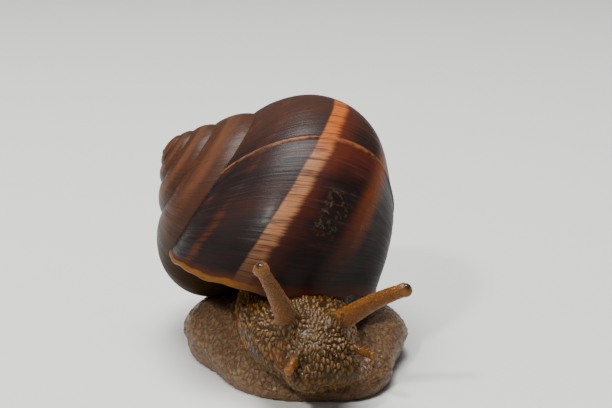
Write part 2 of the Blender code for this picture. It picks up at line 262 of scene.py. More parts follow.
def bumped(*layers: tuple[Value, float]) -> Value:
    """A bumped normal.

    Args:
        layers: Each height, from 0 to 1, and what a height of 1 stands for, in metres.

    Returns:
        The normal.
    """
    below = {}
    for height, depth in layers:
        inputs = {"Distance": depth, "Height": height, **below}
        below["Normal"] = add(height.tree, "ShaderNodeBump", inputs)
    return below["Normal"]


def blank_material(name: str) -> tuple[Finish, Tree]:
    """A new material.

    Args:
        name: Its name.

    Returns:
        The material and its tree.
    """
    material = bpy.data.materials.new(name)
    material.use_nodes = True
    return material, material.node_tree


def filled(material: Finish, inputs: dict[str, object]) -> Finish:
    """Fills the sockets of a material's shader.

    Args:
        material: The material.
        inputs: What goes into each socket.

    Returns:
        The same material.
    """
    for word, value in inputs.items():
        put(material.node_tree.nodes["Principled BSDF"].inputs[word], value)
    return material


def keep_numbers(made: Value, numbers: dict[str, Number]) -> Value:
    """Stores numbers on every point of a geometry.

    Args:
        made: The geometry.
        numbers: The numbers by the names that they are stored under.

    Returns:
        The geometry with the numbers.
    """
    for name, number in numbers.items():
        inputs = {"Geometry": made, "Name": name, "Value": number}
        kind = "GeometryNodeStoreNamedAttribute"
        made = add(made.tree, kind, inputs, data_type="FLOAT", domain="POINT")
    return made


def placed(name: str, data: object) -> Piece:
    """Puts a new object into the scene, at the origin.

    Args:
        name: Its name.
        data: Its mesh, lamp or camera.

    Returns:
        The object.
    """
    made = bpy.data.objects.new(name, data)
    bpy.context.scene.collection.objects.link(made)
    return made


def changed(
    mesh: Mesh, kind: str, values: dict[str, object] | None = None, **settings: object
) -> Mesh:
    """Runs one modifier on a mesh.

    Args:
        mesh: The mesh.
        kind: The modifier's type.
        values: A geometry tree's inputs, by their identifiers.
        settings: The modifier's own settings.

    Returns:
        The result as a new, plain mesh.
    """
    worker = placed("worker", mesh)
    modifier = worker.modifiers.new("change", kind)
    for word, setting in settings.items():
        setattr(modifier, word, setting)
    for identifier, value in (values or {}).items():
        modifier[identifier] = value
    bpy.context.view_layer.update()
    graph = bpy.context.evaluated_depsgraph_get()
    made = bpy.data.meshes.new_from_object(worker.evaluated_get(graph), depsgraph=graph)
    bpy.data.objects.remove(worker, do_unlink=True)
    return made


def points_of(mesh: Mesh) -> np.ndarray:
    """A mesh's points, one to a row."""
    return np.array([vertex.co for vertex in mesh.vertices])


def move_points(mesh: Mesh, places: np.ndarray) -> None:
    """Moves a mesh's points to new places."""
    mesh.vertices.foreach_set("co", places.ravel())
    mesh.update()


def triangles(mesh: Mesh) -> int:
    """How many triangles a mesh has."""
    return sum(len(face.vertices) - 2 for face in mesh.polygons)


class Recipe:
    """A geometry tree with named inputs, and what goes into them."""

    def __init__(self, name: str, sizes: dict[str, object], mesh_in: bool = False) -> None:
        """Makes the tree and its inputs.

        Args:
            name: The tree's name.
            sizes: Each input's name and value, the finish among them.
            mesh_in: Whether the tree takes the object's own mesh.
        """
        kinds = {float: "Float", Vector: "Vector", Finish: "Material"}
        self.tree = bpy.data.node_groups.new(name, "GeometryNodeTree")
        self.values = {}
        face = self.tree.interface
        if mesh_in:
            face.new_socket("Mesh", in_out="INPUT", socket_type="NodeSocketGeometry")
        for word, size in sizes.items():
            title = word.replace("_", " ").capitalize()
            kind = "NodeSocket" + kinds[type(size)]
            socket = face.new_socket(title, in_out="INPUT", socket_type=kind)
            self.values[socket.identifier] = size
        face.new_socket("Mesh", in_out="OUTPUT", socket_type="NodeSocketGeometry")
        entry = self.tree.nodes.new("NodeGroupInput")
        words = ["mesh", *sizes] if mesh_in else list(sizes)
        self.given = SimpleNamespace(**dict(zip(words, map(Value, entry.outputs))))

    def close(self, made: Value) -> None:
        """Ends the tree with smooth shading, real meshes and the finish.

        Args:
            made: The geometry.
        """
        smooth = add(self.tree, "GeometryNodeSetShadeSmooth", {"Geometry": made})
        real = add(self.tree, "GeometryNodeRealizeInstances", (smooth,))
        inputs = {"Geometry": real, "Material": self.given.finish}
        dressed = add(self.tree, "GeometryNodeSetMaterial", inputs)
        put(self.tree.nodes.new("NodeGroupOutput").inputs[0], dressed)

    def run(self, name: str, mesh: Mesh) -> Piece:
        """Runs the tree on a mesh.

        Args:
            name: The finished piece's name.
            mesh: The mesh that the tree starts from.

        Returns:
            The finished piece, a plain mesh.
        """
        made = changed(mesh, "NODES", self.values, node_group=self.tree)
        made.name = name
        return placed(name, made)


@dataclass(frozen=True)
class SpiralRule:
    """The rule of the shell: an oval section that shrinks as it turns back from the mouth.

    Angles are in radians. A place on the shell is given by how far back of the lip it lies, as
    an angle about the axis, and by the angle round the section: 0 furthest from the axis.
    """

    tube: float = 12.7 * MM
    growth: float = 1.714
    offset: float = 1.339
    drop: float = 2.3984
    height: float = 1.3769
    lean: float = 0.116
    wave_1: float = 0.066
    wave_2: float = 0.0737
    wave_3: float = -0.0159
    skew_1: float = 0.6368
    skew_2: float = -0.15955
    skew_3: float = 0.02008
    seam_top: float = 1.4316
    seam_low: float = 0.3722
    base_end: float = -2.15
    pillar_drop: float = 35.2 * MM
    spin: float = math.radians(-39.79)
    azimuth: float = math.radians(173.64)
    elevation: float = math.radians(36.81)
    centre: Place = (-3.675 * MM, -1.875 * MM, 22.0 * MM)
    centre_below_apex: float = 21.72 * MM

    @property
    def shrink(self) -> float:
        """The rate at which the section shrinks with the angle back."""
        return math.log(self.growth) / FULL_TURN

    def axes(self) -> tuple[Vector, Vector, Vector]:
        """The shell's own directions.

        Returns:
            Two directions across its axis, and the one along it to the apex.
        """
        flat, rise = math.cos(self.elevation), math.sin(self.elevation)
        along = Vector((flat * math.cos(self.azimuth), flat * math.sin(self.azimuth), rise))
        across = UP.cross(along).normalized()
        return across, along.cross(across), along

    def apex(self) -> Vector:
        """The point of the shell's cone."""
        return Vector(self.centre) + self.centre_below_apex * self.axes()[2]

    def pillar(self) -> Vector:
        """The foot of the pillar that the tube winds round."""
        return self.apex() - self.axes()[2] * self.pillar_drop

    def at_centre(self, x: float, y: float, z: float) -> Vector:
        """A place measured from the shell's centre, with Z from the floor."""
        return Vector((self.centre[0] + x, self.centre[1] + y, z))

    def skew(self, angle: float) -> float:
        """How far back of the seam's end the lip lies, at an angle round the section."""
        below = self.seam_top - angle
        return -(self.skew_1 * below + self.skew_2 * below**2 + self.skew_3 * below**3)

    def place(self, back: float, angle: float, lift: float) -> Vector:
        """A point of the surface.

        Args:
            back: The angle back of the lip.
            angle: The angle round the section.
            lift: How far the point stands out of the surface.

        Returns:
            The point in the model's frame.
        """
        turned = back - self.skew(angle)
        size = self.tube * math.exp(-self.shrink * turned)
        normal = Vector((math.cos(angle), math.sin(angle) / self.height)).normalized()
        full = 1 + self.wave_1 * math.sin(2 * angle) + self.wave_2 * math.cos(3 * angle)
        full += self.wave_3 * math.sin(3 * angle)
        out = full * math.cos(angle) + normal.x * lift / size
        up = full * self.height * math.sin(angle) + normal.y * lift / size
        lean_cos, lean_sin = math.cos(self.lean), math.sin(self.lean)
        radius = (self.offset + out * lean_cos - up * lean_sin) * size
        along = (-self.drop + out * lean_sin + up * lean_cos) * size
        across, rows, axis = self.axes()
        turn = self.spin + turned
        place = self.apex() + across * (radius * math.cos(turn))
        return place + rows * (radius * math.sin(turn)) + axis * along


@dataclass(frozen=True)
class ShellFinish:
    """The shell's colours and gloss: a near-black ground with tan and red-brown bands, painted sheen
    streaks and painted shade low down.
    """

    ground: Colour = (0.0110, 0.0062, 0.0058)
    old_ground: Colour = (0.0360, 0.0135, 0.0070)
    spire_ground: Colour = (0.045, 0.017, 0.0080)
    spire_band: Colour = (0.090, 0.036, 0.016)
    stripe: Colour = (0.280, 0.118, 0.050)
    lip_stripe: Colour = (0.072, 0.030, 0.013)
    old_stripe: Colour = (0.390, 0.098, 0.015)
    back_stripe: Colour = (0.260, 0.100, 0.035)
    dust: Colour = (0.130, 0.098, 0.060)
    red: Colour = (0.075, 0.013, 0.006)
    second_stripe: Colour = (0.180, 0.036, 0.0035)
    spots: Colour = (0.230, 0.095, 0.035)
    ridge: Colour = (0.230, 0.080, 0.026)
    rim: Colour = (0.125, 0.048, 0.0038)
    rim_shade: Colour = (0.045, 0.010, 0.003)
    # Painted shade: the rim's darker colour along its lower part, under the shell.
    painted_shade_low_rim: Colour = (0.040, 0.011, 0.005)
    rim_line: Colour = (0.035, 0.006, 0.003)
    # Painted sheen: a bluish-grey reflection laid into the base colour.
    sheen: Colour = (0.044, 0.032, 0.034)
    deep: Colour = (0.004, 0.0025, 0.0022)
    inside: Colour = (0.040, 0.020, 0.010)
    # Painted shade colour for the old whorl near the floor.
    painted_low_shade: Colour = (0.026, 0.0120, 0.0040)
    ridge_back: float = 1.112
    halt_back: float = 0.622
    coat: float = 0.03
    line_depth: float = 0.08 * MM
    pit_depth: float = 0.02 * MM

    def make(self) -> Finish:
        """Builds the material.

        Returns:
            The material, which reads the numbers back, angle, arc and inner of the mesh.
        """
        material, tree = blank_material("shell_horn")
        here = place_here(tree)
        back, angle, arc, inner = stored(tree, "back", "angle", "arc", "inner")
        lines = vector_of(arc * 62.0, angle * 1.6, 0.0).noise(1.0, 3.0, 0.60)
        broad = vector_of(arc * 7.0, angle * 1.1, 3.0).noise(1.0, 3.0, 0.55)
        cloud = vector_of(arc * 2.2, angle * 3.0, 9.0).noise(1.0, 4.0, 0.60)
        flecks = vector_of(arc * 30.0, angle * 9.0, 5.0).noise(1.0, 3.0, 0.65)
        bars = vector_of(arc * 24.0, angle * 1.1, 6.0).noise(1.0, 3.0, 0.75)
        band = angle + (broad - 0.5) * 0.030 + (lines - 0.5) * 0.020
        ragged = angle + (broad - 0.5) * 0.10 + (lines - 0.5) * 0.09
        torn = back + (bars - 0.5) * 0.030 + (flecks - 0.5) * 0.030

        spire = back.spread(5.2, 7.4)
        rings = band.near(0.85, 0.10, 0.16) * cloud.spread(0.3, 0.7, 0.4, 1.0)
        after_ridge = back.spread(0.75, 1.06) * back.spread(1.16, 1.10)
        faded = ragged.spread(-0.16, 0.08) * ragged.spread(0.24, 0.16)
        faded = faded * cloud.spread(0.25, 0.70, 0.20, 0.9) * back.spread(0.20, 0.75, 0.35, 1.0)
        faded = faded + after_ridge * angle.near(-0.25, 0.35, 0.30) * 0.75
        edge = ragged.spread(0.055, 0.135) * band.spread(0.262, 0.232)
        dashes = lines.spread(0.28, 0.50, 0.35, 1.0) * bars.spread(0.37, 0.47, 0.25, 1.0)
        pale = painted(
            self.lip_stripe,
            (back.spread(0.05, 0.50), self.stripe),
            (back.spread(0.85, 1.20), self.old_stripe),
            (back.spread(1.8, 3.2), self.back_stripe),
        )
        lasting = back.spread(0.10, 0.42, 0.15, 1.0)
        second = ragged.near(-0.650, 0.050, 0.220) * cloud.spread(0.25, 0.6, 0.3, 0.9) * lasting
        second = second * back.spread(0.30, 0.80, 0.30, 1.0)
        patches = band.near(-0.655, 0.012, 0.040) * cloud.spread(0.48, 0.60)
        patches = patches * flecks.spread(0.45, 0.62)
        third = ragged.near(0.86, 0.02, 0.09) * cloud.spread(0.42, 0.62)
        seam = band.near(1.28, 0.06, 0.12) * broad.spread(0.46, 0.66) * flecks.spread(0.40, 0.65)
        stop = torn.near(self.ridge_back, 0.004, 0.024) * angle.spread(-1.0, -0.5)
        halt = back.near(self.halt_back, 0.001, 0.005) * flecks.spread(0.38, 0.6, 0.25, 0.9)
        # Painted sheen: pale bluish-grey streaks along the growth lines stand in for a reflection.
        painted_sheen_streaks = lines.spread(0.52, 0.74) * back.spread(0.15, 0.70, 0.14, 0.50)
        crumbs = here.noise(1100.0, 3.0, 0.75).spread(0.52, 0.68)
        crumbs = crumbs * back.near(0.58, 0.10, 0.12) * angle.near(-0.24, 0.06, 0.14)
        # Painted shade: the wall under the lip and the underside that faces the floor are darkened
        # towards near-black.
        under = back.spread(4.6, 5.3) * back.spread(7.1, 6.9) * angle.spread(0.42, 0.36)
        under = under.join("MAXIMUM", angle.spread(-1.15, -1.55))
        # Painted shade: the old whorl is darkened towards the floor, and its gloss is cut there too.
        painted_low_shade = here.parts()[2].spread(0.026, 0.013) * back.spread(2.6, 3.4)
        lip = back + (flecks - 0.5) * 0.03
        # Painted shade: the rim turns dark red-brown along its lower part.
        rim = painted(
            self.rim,
            (angle.spread(0.26, -0.10), self.painted_shade_low_rim),
            (flecks.spread(0.45, 0.7) * 0.35, self.rim_line),
        )
        colour = painted(
            self.ground,
            (back.spread(1.05, 1.6), self.old_ground),
            (spire, self.spire_ground),
            (spire * rings, self.spire_band),
            (broad.spread(0.42, 0.75) * 0.22, self.red),
            (back.spread(0.62, 0.12) * 0.55, self.deep),
            (faded.join("MINIMUM", 0.9), self.red),
            (edge * dashes * broad.spread(0.2, 0.6, 0.7, 1.0), pale),
            (second * lines.spread(0.2, 0.5, 0.5, 1.0), self.second_stripe),
            (patches * lasting, self.spots),
            (third * lines.spread(0.35, 0.6, 0.05, 0.25), self.second_stripe),
            (seam * back.spread(1.0, 2.0, 0.38, 0.16), self.spots),
            (stop * flecks.spread(0.34, 0.60, 0.10, 0.90), self.ridge),
            (halt * angle.near(0.15, 0.35, 0.3), self.red),
            (painted_sheen_streaks, self.sheen),
            (lines.spread(0.47, 0.24) * 0.60, self.deep),
            (crumbs * 0.38, self.dust),
            # Painted shade under the lip and on the underside.
            (under * 0.9, self.deep),
            # Painted shade low down on the old whorl.
            (painted_low_shade * 0.9, self.painted_low_shade),
            (lip.spread(0.100, 0.045) * 0.7, self.rim_shade),
            (lip.spread(0.040, 0.022), rim),
            (inner.spread(0.28, 0.50), self.inside),
        )
        pits = here.noise(2600.0, 3.0, 0.6)
        inputs = {
            "Base Color": colour,
            "Roughness": lines.spread(0.25, 0.75, 0.46, 0.32) + (cloud - 0.5) * 0.20,
            "Specular IOR Level": angle.spread(-1.2, 0.3, 0.04, 0.13) * (1.0 - painted_low_shade * 0.95),
            "Coat Weight": self.coat - painted_low_shade * self.coat,
            "Coat Roughness": 0.20,
            "Normal": bumped((lines, self.line_depth), (pits, self.pit_depth)),
        }
        return filled(material, inputs)


@dataclass
class ShellCoil:
    """The coiled shell, made by its rule: the whorls of the spire, the last whorl and its mouth."""

    rule: SpiralRule = field(default_factory=SpiralRule)
    body_back: float = FULL_TURN + 0.9
    most_back: float = 5.1 * FULL_TURN
    lines_to_radian: float = 150.0
    band_rows: int = 14
    base_rows: int = 48
    closing_rows: int = 8
    rim_lines: int = 12
    inner_lines: int = 60
    inner_reach: float = 1.15
    wall: float = 0.60 * MM
    rim_reach: float = 0.012
    line_height: float = 0.060 * MM
    wrinkle_height: float = 0.24 * MM
    ridge_back: float = 1.112
    ridge_half: float = 0.030
    ridge_height: float = 0.20 * MM
    lip_back: float = 0.07
    lip_height: float = 0.22 * MM
    lip_wave: float = 0.012
    smooth_from: float = 3.0 * FULL_TURN
    start_sink: float = 0.55 * MM
    bluntness: float = 1.3 * MM
    pillar_wall: float = 1.6 * MM
    dome_below_apex: float = 2.35 * MM
    dome_half: tuple[float, float] = (2.25 * MM, 0.80 * MM)
    weld: float = 0.0015 * MM

    def _surface(self, given: SimpleNamespace, back: Value, angle: Value, lift: Value) -> Value:
        """The rule as nodes.

        Args:
            given: The tree's inputs.
            back: The angle back of the lip.
            angle: The angle round the section.
            lift: How far the point stands out of the surface.

        Returns:
            The place.
        """
        below = given.seam_top - angle
        skew = below * (given.skew_1 + below * (given.skew_2 + below * given.skew_3)) * -1.0
        wave = (angle * 9.0).sine() * 0.55 + (angle * 21.0 + 1.0).sine() * 0.45
        wave = wave * back.spread(0.0, 0.30, 1.0, 0.0) * angle.spread(-1.9, -1.0)
        turned = back - skew + wave * given.lip_wave
        size = given.tube * (given.shrink * turned * -1.0).join("EXPONENT")
        full = (angle * 2.0).sine() * given.wave_1 + (angle * 3.0).cosine() * given.wave_2
        full = full + (angle * 3.0).sine() * given.wave_3 + 1.0
        out, up = angle.cosine() * full, angle.sine() * given.height * full
        normal_out, normal_up = angle.cosine(), angle.sine() / given.height
        steep = (normal_out * normal_out + normal_up * normal_up).join("SQRT")
        share = lift / (steep * size)
        out = out + normal_out * share
        up = up + normal_up * share
        lean_cos, lean_sin = given.lean.cosine(), given.lean.sine()
        radius = (given.offset + out * lean_cos - up * lean_sin) * size
        along = (out * lean_sin + up * lean_cos - given.drop) * size
        along = (along * along + given.bluntness * given.bluntness).join("SQRT") * -1.0
        turn = given.spin + turned
        place = given.apex.vector("ADD", given.across.vector("SCALE", radius * turn.cosine()))
        place = place.vector("ADD", given.rows.vector("SCALE", radius * turn.sine()))
        return place.vector("ADD", given.along.vector("SCALE", along))

    def _relief(self, given: SimpleNamespace, back: Value, angle: Value) -> tuple[Value, Value]:
        """The height of growth lines, wrinkles, the growth ridge and the lip.

        Args:
            given: The tree's inputs.
            back: The angle back of the lip.
            angle: The angle round the section.

        Returns:
            The height, and the length grown back of the lip in radians at the lip's size.
        """
        arc = (1.0 - (given.shrink * back * -1.0).join("EXPONENT")) / given.shrink
        fine = vector_of(arc * 40.0, angle * 1.2, 0.0).noise(1.0, 1.0) - 0.5
        broad = vector_of(arc * 8.0, angle * 0.9, 4.0).noise(1.0, 2.0) - 0.5
        height = fine * given.line_height + broad * given.wrinkle_height
        height = height * back.spread(self.smooth_from, self.smooth_from + 6.0, 1.0, 0.15)
        ridge = (back - given.ridge_back).join("ABSOLUTE").spread(0.0, self.ridge_half, 1.0, 0.0)
        lip = back.spread(0.0, self.lip_back, 1.0, 0.0)
        height = height + ridge * given.ridge_height + lip * given.lip_height
        start = back.spread(self.most_back - 1.2, self.most_back, 0.0, self.start_sink)
        return height - start, arc

    def _strip(self, given: SimpleNamespace, lines: int, rows: int, last_whorl: bool) -> Value:
        """One strip of the shell: a grid laid on the rule.

        Args:
            given: The tree's inputs.
            lines: Points along the spiral.
            rows: Points round the section.
            last_whorl: Whether it is the last whorl, with its base, lip and inner wall.

        Returns:
            The strip's geometry.
        """
        tree = given.apex.tree
        inputs = {"Size X": lines - 1.0, "Size Y": rows - 1.0, "Vertices X": lines, "Vertices Y": rows}
        grid = add(tree, "GeometryNodeMeshGrid", inputs)
        x, y, _ = add(tree, "GeometryNodeInputPosition").parts()
        line, row = x + (lines - 1) / 2, y + (rows - 1) / 2
        step = (self.rule.seam_top - self.rule.seam_low) / self.band_rows
        if last_whorl:
            outer = lines - 1 - self.rim_lines - self.inner_lines
            rim_end = outer + self.rim_lines
            rim = line.spread(outer, rim_end, 0.0, math.pi, soft=False)
            inwards = line.spread(rim_end, lines - 1, soft=False)
            back = given.body_back * (1.0 - line.spread(0, outer, soft=False))
            back = back + given.inner_reach * inwards - rim.sine() * given.rim_reach
            inner = rim / math.pi
            sunk = (1.0 - rim.cosine()) * given.wall * -0.5
        else:
            # Even steps along the narrowing whorls, from the last whorl's start to the tip.
            far = math.exp(-self.rule.shrink * (self.most_back - self.body_back))
            share = line * ((1.0 - far) / (lines - 1)) + far
            back = given.body_back - share.join("LOGARITHM", math.e) / given.shrink
            inner = sunk = line * 0.0
        angle = self.rule.seam_top + step - row.join("MINIMUM", float(self.base_rows)) * step
        relief, arc = self._relief(given, back, angle)
        place = self._surface(given, back, angle, relief * (1.0 - inner) + sunk)
        if last_whorl:
            closing = row.spread(self.base_rows, rows - 1, soft=False)
            foot = given.along.vector("SCALE", inner * self.pillar_wall)
            mixed = {0: closing, 4: place, 5: given.pillar.vector("ADD", foot)}
            place = add(tree, "ShaderNodeMix", mixed, 1, data_type="VECTOR")
            angle = angle - closing * 0.4
        made = keep_numbers(grid, {"back": back, "angle": angle, "arc": arc, "inner": inner})
        return add(tree, "GeometryNodeSetPosition", {"Geometry": made, "Position": place})

    def _dome(self, tree: Tree) -> Value:
        """The low, smooth dome of the very first whorl.

        Args:
            tree: The tree.

        Returns:
            The dome's geometry.
        """
        sizes = {"Segments": 64, "Rings": 32, "Radius": 1.0}
        ball = add(tree, "GeometryNodeMeshUVSphere", sizes)
        numbers = {"back": self.most_back, "angle": 0.9, "arc": 11.0, "inner": 0.0}
        axes = self.rule.axes()
        wide, high = self.dome_half
        inputs = {
            "Geometry": keep_numbers(ball, numbers),
            "Translation": self.rule.apex() - axes[2] * self.dome_below_apex,
            "Rotation": Matrix(axes).transposed().to_euler(),
            "Scale": (wide, wide, high),
        }
        return add(tree, "GeometryNodeTransform", inputs)

    def build(self, finish: Finish) -> Piece:
        """Builds the shell.

        Args:
            finish: Its material.

        Returns:
            The shell.
        """
        rule = self.rule
        sizes = dict(zip(("across", "rows", "along"), rule.axes()))
        sizes |= {"apex": rule.apex(), "pillar": rule.pillar(), "finish": finish}
        curve = "tube shrink offset drop height lean seam_top spin"
        bends = "wave_1 wave_2 wave_3 skew_1 skew_2 skew_3"
        reaches = "body_back inner_reach rim_reach wall bluntness lip_wave"
        heights = "line_height wrinkle_height ridge_back ridge_height lip_height"
        for owner, words in ((rule, curve), (rule, bends), (self, reaches), (self, heights)):
            sizes |= {word: getattr(owner, word) for word in words.split()}
        recipe = Recipe("coiled_shell", sizes)
        lines = int(self.body_back * self.lines_to_radian) + 1 + self.rim_lines + self.inner_lines
        near, far = (math.exp(-rule.shrink * back) for back in (self.body_back, self.most_back))
        spire_lines = int((near - far) / rule.shrink * self.lines_to_radian)
        rows = self.base_rows + self.closing_rows + 1
        join = recipe.tree.nodes.new("GeometryNodeJoinGeometry")
        for strip in (
            self._dome(recipe.tree),
            self._strip(recipe.given, spire_lines, self.band_rows + 3, last_whorl=False),
            self._strip(recipe.given, lines, rows, last_whorl=True),
        ):
            put(join.inputs[0], strip)
        inputs = {"Geometry": Value(join.outputs[0]), "Distance": self.weld}
        recipe.close(add(recipe.tree, "GeometryNodeMergeByDistance", inputs))
        return recipe.run("shell_coil", bpy.data.meshes.new("shell_start"))

    def dress(self, piece: Piece) -> None:
        """Puts the shell in the place of its solid.

        Args:
            piece: The shell.
        """
        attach(piece, "root")
        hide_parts("shell")


@dataclass(frozen=True)
class SkinFinish:
    """The wet skin: brown warts over dark grooves, amber feelers, a greyer, pinker foot, painted shade
    on the collar and lower head, and painted lip glints.
    """

    groove: Colour = (0.020, 0.0080, 0.0020)
    hollow: Colour = (0.060, 0.028, 0.0060)
    wart: Colour = (0.145, 0.078, 0.018)
    feeler: Colour = (0.110, 0.034, 0.0025)
    feeler_top: Colour = (0.155, 0.060, 0.0110)
    bulb: Colour = (0.165, 0.070, 0.0180)
    foot_groove: Colour = (0.100, 0.052, 0.026)
    foot_wart: Colour = (0.205, 0.120, 0.066)
    skirt: Colour = (0.180, 0.096, 0.050)
    orange: Colour = (0.300, 0.075, 0.008)
    # Painted shade: the mantle collar in the shell's mouth is made dark brown.
    painted_collar_shade: Colour = (0.034, 0.0140, 0.0040)
    # Painted shade: a darker, flatter tone for the lower head.
    painted_chin_shade: Colour = (0.066, 0.034, 0.0080)
    shade: Colour = (0.009, 0.0035, 0.001)
    gleam: Colour = (1.0, 0.82, 0.62)
    flesh_depths: Colour = (1.0, 0.42, 0.18)
    flesh_depth: float = 0.9 * MM
    gloss: float = 0.12
    wetness: float = 0.26
    grain_depth: float = 0.05 * MM
    net_depth: float = 0.16 * MM
    fine_depth: float = 0.03 * MM

    def make(self) -> Finish:
        """Builds the material.

        Returns:
            The material, which reads the numbers crest, feeler, foot, tip, low, collar and lid.
        """
        material, tree = blank_material("wet_skin")
        here = place_here(tree)
        names = ("crest", "feeler", "foot", "tip", "low", "collar", "lid")
        crest, feeler, foot, tip, low, collar, lid = stored(tree, *names)
        cloud, fine = here.noise(160.0, 3.0, 0.6), here.noise(1500.0, 3.0, 0.6)
        _, along, height = here.parts()
        # Painted reflection: orange glints of the shell's lip on the wart crests just below it.
        painted_lip_glints = along.spread(-0.0345, -0.0290) * crest.spread(0.50, 0.95)
        lower = height.spread(0.0110, 0.0045)
        head = painted(
            self.groove,
            (crest.spread(0.03, 0.38), self.hollow),
            (crest.spread(0.30, 0.88) * cloud.spread(0.2, 0.7, 0.5, 1.0), self.wart),
            (cloud.spread(0.52, 0.72) * 0.28, self.orange),
            (painted_lip_glints * fine.spread(0.35, 0.6) * 0.8, self.orange),
            # Painted shade on the lower head.
            (lower * 0.55, self.painted_chin_shade),
        )
        pushed = here.vector("SCALE", 900.0).vector("ADD", fine)
        net = pushed.cells("DISTANCE_TO_EDGE").spread(0.0, 0.20)
        under = painted(
            self.foot_groove,
            (net * 0.6 + crest.spread(0.05, 0.75) * 0.4, self.foot_wart),
            (cloud.spread(0.45, 0.70) * 0.30, self.foot_groove),
            (low.spread(0.2, 0.9) * 0.7, self.skirt),
        )
        amber = painted(
            self.feeler,
            (crest.spread(0.35, 0.85), self.feeler_top),
            (tip.spread(0.80, 0.97), self.bulb),
            (fine.spread(0.45, 0.75) * 0.12, self.groove),
        )
        colour = painted(
            head,
            (foot, under),
            # Painted shade over the mantle collar.
            (collar.spread(0.15, 0.8) * 0.75, self.painted_collar_shade),
            (feeler.spread(0.05, 0.95), amber),
            (fine.spread(0.40, 0.75) * 0.22, self.groove),
            (lid, self.shade),
        )
        dull = collar.join("MAXIMUM", along.spread(-0.0275, -0.0235) * (1.0 - foot))
        dull = dull.join("MAXIMUM", lower * 0.8 * (1.0 - foot))
        grain = here.vector("SCALE", 3600.0).cells().spread(0.1, 0.7, 1.0, 0.0)
        depths = (grain, self.grain_depth), (net * foot, self.net_depth), (fine, self.fine_depth)
        inputs = {
            "Base Color": colour,
            "Roughness": fine.spread(0.30, 0.70, 0.30, 0.48) + foot * 0.06,
            "Subsurface Weight": feeler.spread(0.0, 1.0, 0.30, 0.75),
            "Subsurface Radius": self.flesh_depths,
            "Subsurface Scale": self.flesh_depth,
            "Specular IOR Level": self.gloss - dull * self.gloss,
            "Specular Tint": self.gleam,
            "Coat Weight": (self.wetness - feeler * 0.02) * (1.0 - dull),
            "Coat Roughness": 0.05 + foot * 0.15,
            "Coat IOR": 1.5,
            "Normal": bumped(*depths),
        }
        return filled(material, inputs)


@dataclass
class Solid:
    """One closed form of the body and the zone that it belongs to."""

    zone: Zone
    points: list[Vector]
    faces: list[tuple[int, ...]]

    def mesh(self) -> Mesh:
        """Makes the form's mesh.

        Returns:
            The mesh.
        """
        mesh = bpy.data.meshes.new("form")
        mesh.from_pydata(self.points, [], self.faces)
        return mesh

    def reach(self, points: np.ndarray, limit: float) -> np.ndarray:
        """How far points lie from the form.

        Args:
            points: The points, one to a row.
            limit: The most that is measured.

        Returns:
            The distances, below 0 inside.
        """
        tree = BVHTree.FromPolygons(self.points, self.faces)
        low = np.min(self.points, axis=0) - limit
        high = np.max(self.points, axis=0) + limit
        found = np.full(len(points), limit)
        for index in np.flatnonzero(np.all((points > low) & (points < high), axis=1)):
            point = Vector(points[index])
            place, normal, _, distance = tree.find_nearest(point)
            ahead = (point - place).dot(normal)
            found[index] = min(distance if ahead >= 0 else -distance, limit)
        return found


def closed_form(zone: Zone, rings: list[Ring]) -> Solid:
    """A closed form through rings of points.

    Args:
        zone: The zone it belongs to.
        rings: The rings, alike in count, wound the same way.

    Returns:
        The form with its faces outwards.
    """
    count = len(rings[0])
    last = (len(rings) - 1) * count
    points = [point for ring in rings for point in ring]
    faces = []
    for first in range(0, last, count):
        for side in range(count):
            here, after = first + side, first + (side + 1) % count
            faces.append((here, after, after + count, here + count))
    for start, turned in ((0, True), (last, False)):
        middle = len(points)
        points.append(sum(points[start : start + count], Vector()) / count)
        for side in range(count):
            pair = (start + side, start + (side + 1) % count)
            faces.append((*(reversed(pair) if turned else pair), middle))
    volume = 0.0
    for first, *others in faces:
        for second, third in zip(others, others[1:]):
            volume += points[first].dot(points[second].cross(points[third]))
    if volume < 0:
        faces = [tuple(reversed(face)) for face in faces]
    return Solid(zone, points, faces)


def circle(sides: int) -> list[tuple[float, float]]:
    """The cosine and sine of even steps round a circle."""
    angles = [FULL_TURN * side / sides for side in range(sides)]
    return [(math.cos(angle), math.sin(angle)) for angle in angles]


def smooth_through(stations: Table, count: int) -> np.ndarray:
    """Reads a table of stations as one smooth course.

    Args:
        stations: The stations, the place along the course first.
        count: How many rows to make.

    Returns:
        The rows, evenly spread over the stations.
    """
    table = np.array(stations)
    table = np.vstack((2 * table[0] - table[1], table, 2 * table[-1] - table[-2]))
    rows = []
    for share in np.linspace(0, len(stations) - 1, count):
        index = min(int(share), len(stations) - 2)
        t = share - index
        a, b, c, d = table[index : index + 4]
        bend = (2 * a - 5 * b + 4 * c - d) * t**2 + (3 * b - a - 3 * c + d) * t**3
        rows.append(0.5 * (2 * b + (c - a) * t + bend))
    return np.array(rows)


